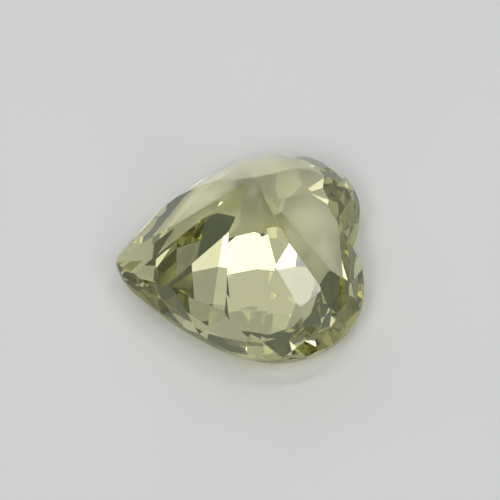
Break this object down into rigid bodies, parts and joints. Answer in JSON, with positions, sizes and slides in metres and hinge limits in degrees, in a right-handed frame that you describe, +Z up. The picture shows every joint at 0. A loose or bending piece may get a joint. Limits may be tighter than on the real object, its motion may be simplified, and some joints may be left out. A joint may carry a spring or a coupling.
{
  "type": "heart cut sapphire",
  "caption": "Loose heart shaped faceted gemstone in clear olive green, lying on its flat table with the pointed pavilion up.",
  "frame": {"origin": "middle of the stone's box, on the plane that the table rests on", "axes": "+Z up from the table to the culet, -X to the heart's tip, +X to its cleft, +Y to the far lobe"},
  "size_m": [0.005, 0.005, 0.0033],
  "materials": {
    "sapphire": "polished"
  },
  "bodies": {
    "root": {"heart_cut_sapphire": "sapphire"}
  },
  "joints": []
}
